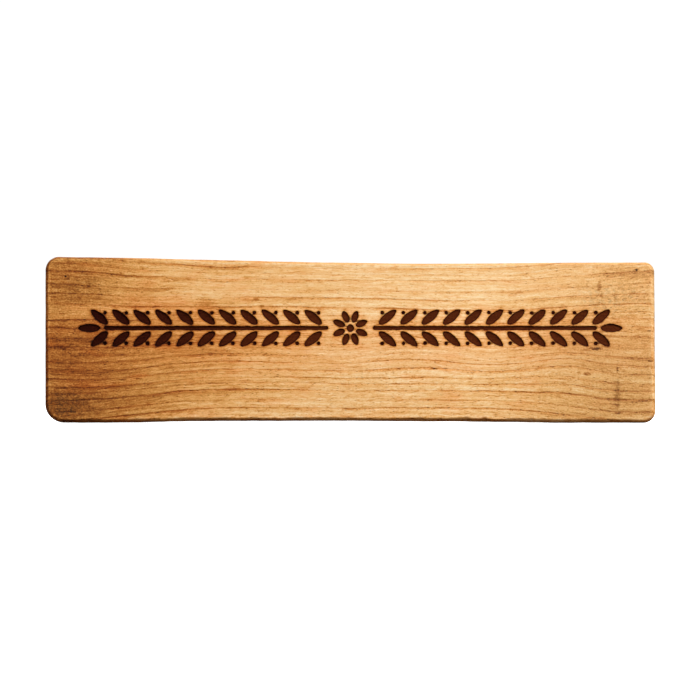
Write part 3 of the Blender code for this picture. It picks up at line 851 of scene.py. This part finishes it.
def wood_material():
    g = Graph("oiled_wood_detail")
    x, y, z = g.xyz()
    v = g.attribute("ring_height")
    fade = g.attribute("line_fade")
    burn = g.attribute("burn")

    # growth rings
    v = v + g.noise(x / 3.2, y / 2.0, z / 2.0, 2.0) * 0.10
    count = (v + (v * 0.23 + 1.1).sin() * 0.9 + (v * 0.61 + 0.4).sin() * 0.45) / 3.8
    k, phase = count.floor(), count.fract()
    pick = (k * 0.618034 + 0.13).fract()
    broken = (g.noise(x / 3.4, y / 1.0, v / 0.9, 3.0, 0.6) * 1.0 + 0.75).clip()
    line = (phase.bell(0.9, 0.06) * broken + phase.bell(0.875, 0.15) * 0.28) * (pick * 0.6 + 0.4) * fade
    late = phase.step(0.35, 0.92) * (1.0 - phase.step(0.93, 0.99)) * fade
    tone = ((k * 0.4142136 + 0.71).fract() - 0.5) * 0.08

    # thin wandering lines between the rings, each with a pale flank
    sway = g.noise(x / 17, y / 2.0, v / 1.9, 2.0, 0.5)
    gate = (g.noise(x / 7 + 5, y / 4, v / 2.6, 2.0) * 0.9 + 0.55).clip()
    thread = (1.0 - sway.abs() * 9).clip() * gate * broken
    flank = (1.0 - (sway - 0.17).abs() * 9).clip() * gate
    sway = g.noise(x / 8 + 50, y / 1.2, v / 1.1 + 30, 2.0, 0.5)
    gate = (g.noise(x / 3.5 + 25, y / 3, v / 1.8, 2.0) * 1.1 + 0.4).clip()
    thread = thread + (1.0 - sway.abs() * 6).clip() * gate * 0.8
    flank = flank + (1.0 - (sway - 0.24).abs() * 6).clip() * gate * 0.7

    # fibres, from long streaks down to flecks
    streak = g.noise(x / 62, y / 1.2, v / 0.78, 2.0, 0.5)
    stripe = g.noise(x / 48 + 3, y / 3, v / 2.1, 2.0, 0.5)
    long_fibre = g.noise(x / 26, y / 1.5, v / 1.15, 3.0, 0.55)
    fibre = g.noise(x / 8, y / 0.7, v / 0.6, 3.0, 0.6)
    hair = g.noise(x / 2.8, y / 0.45, v / 0.45, 3.0, 0.6)
    fleck = g.noise(x / 0.9, y / 0.55, v / 0.55, 2.0, 0.6)
    blotch = g.noise(x / 2.8, y / 2.0, v / 1.9, 3.0, 0.65)

    # open pores: short dark dashes, thicker near the growth lines
    crowd = (late * 0.40 + line * 0.8 + thread * 0.35 + g.noise(x / 26, y / 10, v / 6, 2.0) * 0.4 + 0.30).clip()
    away, chance, size = g.cells(x / 3.0 + 7.3, y / 0.62, v / 0.62)
    pores = (1.0 - (away / (size * 0.24 + 0.20)).clip()).step(0.0, 0.6) * (crowd - chance).step(0.0, 0.08)
    away, chance, size = g.cells(x / 1.3 + 2.9, y / 0.5, v / 0.5)
    small = (1.0 - (away / (size * 0.25 + 0.24)).clip()).step(0.0, 0.7) * (crowd * 0.9 - chance).step(0.0, 0.1)

    # slow changes of tone
    patch = g.noise(x / 42, y / 20, z / 13, 2.0)
    cloud = g.noise(x / 14, y / 10, z / 5.5, 3.0, 0.6)
    behind = y.step(FRONT + 3, FRONT + 10)
    # painted shade, partly age: the wood darkens towards the left end, less so on the sides and back
    left = x.step(20, -110) * (1.0 - behind * 0.25)
    far_left = x.step(-72, -150) * (1.0 - behind * 0.55)
    right = x.step(60, 130)
    low = z.step(50, 0)
    under = z.step(20, 32) * z.step(58, 46)     # browned by the heat of the burning

    ends = (x.abs() / 150).step(0.45, 1.0)
    texture = (line * 0.23 + late * 0.060 + tone * 0.7 + thread * 0.15 - flank * 0.085
               + streak * 0.095 + stripe * 0.07 + long_fibre * 0.095 + fibre * 0.110 + hair * 0.128
               + fleck * (ends * 0.12 + 0.088) + blotch * (ends * 0.03 + 0.02) + patch * 0.045 + cloud * 0.050
               + (pores * 0.28 + small * 0.15))
    worn = g.attribute("worn")
    calm = z.step(46, 60) * x.step(-70, -30) * x.step(110, 60)     # quieter figure above the burning
    dark = (0.178 + texture * (1.0 - left * 0.21 - right * 0.08 - calm * 0.17)
            + left * 0.19 + far_left * 0.19 + right * (1.0 - worn * 0.6) * 0.135 + low * 0.055 + under * 0.025)
    dark = (dark - x.bell(-92, 38) * z.step(52, 66) * 0.060 - x.step(-70, -120) * z.bell(55, 7) * 0.060
            - x.bell(-80, 45) * z.step(18, 8) * 0.025
            + x.step(112, 142) * (z.step(60, 73) * 0.085 + z.bell(26, 9) * 0.035)
            + z.step(7, 2) * x.step(-90, -30) * 0.035)

    # scorched fringe round the burned band, and the warm tint it leaves
    halo = burn.step(-0.8, 0.0) * (g.noise(x / 1.3, y, z / 0.9, 2.0) * 0.35 + 0.75)
    warm = burn.step(-3.2, -0.3) * (g.noise(x / 6, y, z / 4, 2.0) * 0.6 + 0.5).clip()
    dark = dark + halo * 0.26 + warm * 0.05

    # odd marks of this plank: dark specks, short checks, and the pin holes drawn only as dark spots of painted shade
    on_face = y.step(FRONT + 3, FRONT + 2)
    wander = g.noise(x / 0.9, y, z / 0.6, 2.0) * 0.45
    for mx, mz, mw, mh, strength in MARKS:
        away = (((x - mx) / mw).power(2.0) + ((z - mz) / mh).power(2.0)).power(0.5) + wander
        dark = dark + away.step(1.2, 0.4) * on_face * strength

    # a painted highlight along the crease of the worn edge, partly pale rubbed wear
    edge = g.attribute("edge")
    crease_highlight_and_wear = edge.step(1.5, 0.2) * (1.0 - worn) * (g.noise(x / 2.5, y / 2, z / 2.5, 3.0, 0.6) * 1.1 + 0.5).clip()
    dark = dark - crease_highlight_and_wear * 0.11

    # mould specks in the lower left corner, brown mottling above it
    spot = (((x + 140) / 13).power(2.0) + ((z - 8) / 7.5).power(2.0)).step(1.2, 0.15)
    mould = g.noise(x / 1.1, y, z / 0.9, 3.0, 0.7).step(-0.15, 0.45) * spot
    mottle = (((x + 137) / 16).power(2.0) + ((z - 66) / 9).power(2.0)).step(1.2, 0.1)
    dark = dark + mould * 0.17 + g.noise(x / 3.2, y, z / 1.9, 3.0, 0.65).step(-0.1, 0.6) * mottle * 0.10

    wood = g.ramp(dark, (
        (0.00, (255, 235, 194)), (0.12, (252, 218, 168)), (0.22, (244, 200, 142)), (0.32, (237, 182, 114)),
        (0.42, (218, 156, 84)), (0.52, (193, 129, 60)), (0.62, (166, 101, 42)), (0.75, (122, 67, 24)),
        (0.88, (74, 36, 12)), (1.00, (36, 15, 5))))
    orange = (g.noise(x / 20 + 40, y / 14, z / 7, 3.0) + 0.1).step(0.0, 1.0) * 0.6 + warm * 0.6
    wood = g.mix((orange.clip() * 0.36 + under * 0.15).clip(), wood, (252, 178, 96), "MULTIPLY")
    pale = dark.step(0.72, 0.48, 0.35, 1.0)
    wood = g.mix((right * z.step(70, 30) * 0.22 + right * 0.08) * (1.0 - worn) * pale, wood, (186, 154, 106))
    wood = g.mix(x.step(40, 100) * z.step(50, 66) * pale * 0.17, wood, (236, 196, 144))
    blush = (x.bell(-97, 24) * z.bell(58, 3.6) + x.bell(-130, 16) * z.bell(20, 9) * 0.7) * (cloud * 0.5 + 0.8).clip()
    wood = g.mix(blush * 0.38, wood, (244, 164, 86), "MULTIPLY")

    # grey weathering in the corners and at the right-hand end
    corner = (((x + 135).abs() / 22).step(1.0, 0.0) * ((z - 9).abs() / 13).step(1.0, 0.0)
              + ((x + 132).abs() / 20).step(1.0, 0.0) * ((z - 68).abs() / 12).step(1.0, 0.0) * 0.7
              + ((x - 130).abs() / 26).step(1.0, 0.0) * ((z - 61).abs() / 13).step(1.0, 0.0) * 0.7
              + ((x - 131).abs() / 3.2).step(1.0, 0.0) * ((z - 14).abs() / 15).step(1.0, 0.0) * 0.8)
    grime = g.noise(x / 1.9, y / 1.5, z / 1.2, 4.0, 0.75).step(-0.25, 0.6) * corner.clip() * 1.3
    grime = grime + g.noise(x / 22 + 80, y / 12, z / 8, 3.0).step(0.45, 1.1) * g.noise(x / 1.6, y, z / 0.9, 2.0).step(-0.1, 0.8) * 0.45
    wood = g.mix(grime.clip() * 0.60, wood, (122, 100, 68), "MULTIPLY")
    wood = g.mix(mould * 0.4, wood, (98, 74, 42))
    amber = (g.noise(x / 24 + 11, y / 6, v / 3.4, 3.0, 0.6).step(0.0, 0.7) * x.step(10, -70)
             + g.noise(x / 15 + 61, y / 6, v / 2.2, 3.0, 0.6).step(0.25, 0.8) * 0.5)
    wood = g.mix((amber * 0.34).clip(), wood, (246, 176, 104), "MULTIPLY")

    wood = g.mix((line * 0.34 + thread * 0.16).clip() * (1.0 - worn), wood, (236, 166, 92), "MULTIPLY")

    # round the edge the wood is unevenly browner, and the left end and bottom edge get painted shade
    left_and_bottom_edge_shade = (x.step(-146, -149) + z.step(6, 1)).clip() * 0.55 * (1.0 - y.step(FRONT + 2, FRONT + 5) * 0.6)
    wood = g.mix(worn * (g.noise(x / 5, y / 3, z / 5, 3.0) * 0.2 + left_and_bottom_edge_shade).clip(), wood,
                 (222, 168, 112), "MULTIPLY")
    # painted shade: the top face greyed darker, more so away from the front
    wood = g.mix(worn * z.step(70, 75) * (0.6 + y.step(FRONT + 1.5, FRONT + 4) * 0.4), wood,
                 (204, 190, 170), "MULTIPLY")

    # char: streaked floor, darker rim and walls
    scorch = g.noise(x / 4.5, y, z / 0.38, 3.0, 0.6)
    speck = g.noise(x / 0.8, y, z / 0.6, 2.0, 0.6)
    # painted shade: the char darkens towards the left end
    ash = (0.50 + scorch * 0.13 + speck * 0.15 + x.step(-150, 0, -0.27, 0.02)
           - burn.step(0.8, 0.15) * 0.22).clip()
    char = g.ramp(ash, ((0.0, (18, 2, 0)), (0.25, (44, 8, 2)), (0.5, (78, 31, 9)), (0.75, (108, 52, 18)), (1.0, (140, 78, 32))))
    inside_burn = burn.step(-0.06, 0.05)
    g.plug(g.mix(inside_burn, wood, char), g.shader.inputs["Base Color"])

    rough = 0.50 + fibre * 0.05 + pores * 0.2 + grime * 0.12 + inside_burn * 0.28
    g.plug(rough.clip(), g.shader.inputs["Roughness"])
    g.plug(0.14 - inside_burn * 0.09, g.shader.inputs["Specular IOR Level"])
    height = (fibre * 0.35 + hair * 0.25 + long_fibre * 0.2 + fleck * 0.12 - pores * 1.3 - small * 0.7 - line * 0.6
              + inside_burn * (scorch * 0.9 + speck * 0.5))
    g.bump(height, 0.00006)
    return g.material


# ------------------------------------------------------------------ hardware and rubber
def metal_material(name, tint, dull):
    g = Graph(name)
    x, y, z = g.xyz()
    stain = g.noise(x / 4, y / 4, z / 4, 4.0, 0.6)
    scratch = g.noise(x / 0.25, y / 3, z / 3, 2.0)
    shade = (0.5 + stain * 0.18 + scratch * 0.06).clip()
    g.plug(g.ramp(shade, ((0.0, tuple(c * 0.72 for c in tint)), (0.5, tint), (1.0, tuple(min(255, c * 1.12) for c in tint)))),
           g.shader.inputs["Base Color"])
    g.shader.inputs["Metallic"].default_value = 1.0
    g.plug((dull + stain * 0.07 + scratch * 0.04).clip(), g.shader.inputs["Roughness"])
    g.bump(stain * 0.4 + scratch * 0.3, 0.00003)
    return g.material


def rubber_material():
    g = Graph("moulded_rubber")
    x, y, z = g.xyz()
    dust = g.noise(x / 3, y / 3, z / 3, 4.0, 0.65)
    grain = g.noise(x / 0.22, y / 0.22, z / 0.22, 2.0)
    shade = (0.4 + dust * 0.25 + grain * 0.08).clip()
    g.plug(g.ramp(shade, ((0.0, (22, 22, 23)), (0.5, (38, 38, 39)), (1.0, (72, 70, 67)))), g.shader.inputs["Base Color"])
    g.plug((0.62 + dust * 0.1 + grain * 0.05).clip(), g.shader.inputs["Roughness"])
    g.bump(grain, 0.00003)
    return g.material


def paint(obj, material):
    obj.data.materials.clear()
    obj.data.materials.append(material)


# ------------------------------------------------------------------ stage
def make_stage():
    lo, hi = cad_box
    g = Graph("studio_sweep")
    x, y, z = g.xyz()
    light = g.node("ShaderNodeLightPath").outputs["Is Camera Ray"]
    g.plug(g.mix(light, (96, 94, 90), (250, 250, 250)), g.shader.inputs["Base Color"])
    g.shader.inputs["Roughness"].default_value = 0.9
    g.shader.inputs["Specular IOR Level"].default_value = 0.0
    g.plug((1.0, 1.0, 1.0, 1.0), g.shader.inputs["Emission Color"])
    away = (x * x + y * y).power(0.5)
    g.plug(g.value(light) * away.step(220, 800, 0.78, 1.05), g.shader.inputs["Emission Strength"])
    bpy.ops.mesh.primitive_plane_add(size=16, location=(0, 0, lo.z - 0.0004))
    floor = bpy.context.object
    floor.name = "studio_floor"
    paint(floor, g.material)

    world = bpy.data.worlds.new("studio")
    bpy.context.scene.world = world
    world.use_nodes = True
    nodes, links = world.node_tree.nodes, world.node_tree.links
    back = nodes["Background"]
    path = nodes.new("ShaderNodeLightPath")
    strength = nodes.new("ShaderNodeMapRange")
    strength.inputs["To Min"].default_value = 0.22
    strength.inputs["To Max"].default_value = 1.05
    links.new(path.outputs["Is Camera Ray"], strength.inputs["Value"])
    links.new(strength.outputs[0], back.inputs["Strength"])
    back.inputs["Color"].default_value = (1, 1, 1, 1)

    def lamp(name, at, size, power, aim, tint=(1, 1, 1)):
        data = bpy.data.lights.new(name, "AREA")
        data.shape, data.size, data.energy, data.color = "DISK", size, power, tint
        obj = bpy.data.objects.new(name, data)
        bpy.context.scene.collection.objects.link(obj)
        obj.location = at
        obj.rotation_euler = (Vector(aim) - Vector(at)).to_track_quat("-Z", "Y").to_euler()

    lamp("key", (0.62, -0.85, 0.95), 0.45, 21, (0.03, 0, 0.04), (1.0, 0.985, 0.96))
    lamp("fill", (-1.2, -1.6, 0.7), 1.2, 7, (0, 0, 0.04))
    lamp("rear", (-0.6, 1.4, 1.1), 0.9, 16, (0, 0, 0.04))
    lamp("over", (0.2, 0.3, 1.9), 1.4, 12, (0, 0, 0.0))

    camera = bpy.data.objects.new("camera", bpy.data.cameras.new("camera"))
    bpy.context.scene.collection.objects.link(camera)
    bpy.context.scene.camera = camera
    # the plank is 610.4 of the frame's 700 pixels long, its middle at (350.4, 340)
    distance_back, wide = 2.6, 0.300 * 700 / 610.4
    camera.data.sensor_width = 36
    camera.data.lens = 36 * (distance_back + FRONT * MM) / wide
    camera.data.clip_start, camera.data.clip_end = 0.05, 60
    camera.location = (-0.00017, -distance_back, 0.0356)
    camera.rotation_euler = (math.pi / 2, 0, 0)
    bpy.context.scene.view_settings.view_transform = "Standard"


def main():
    plank = build_board()
    paint(plank, wood_material())
    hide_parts("board")
    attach(plank, "root")
    zinc = metal_material("zinc_wire", (226, 225, 221), 0.34)
    sheet = metal_material("zinc_strap", (224, 222, 215), 0.40)
    rubber = rubber_material()

    def stand_in(piece, node, body, material):
        paint(piece, material)
        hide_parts(node)
        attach(piece, body)

    for side in ("left", "right"):
        joint = next(j for j in frame["joints"] if j["name"] == side + "_ring_swing")
        axis = np.array(joint["pos_m"]) / MM
        stand_in(strap(side, axis), "hanger_strap_" + side, "root", sheet)
        stand_in(d_ring(side, axis), "d_ring_" + side, side + "_ring", zinc)
        stand_in(screw(side, axis), "hanger_screw_" + side, "root", zinc)
        for high in ("lower", "upper"):
            node = f"bumper_{high}_{side}"
            stand_in(bumper(node), node, "root", rubber)
    make_stage()


main()
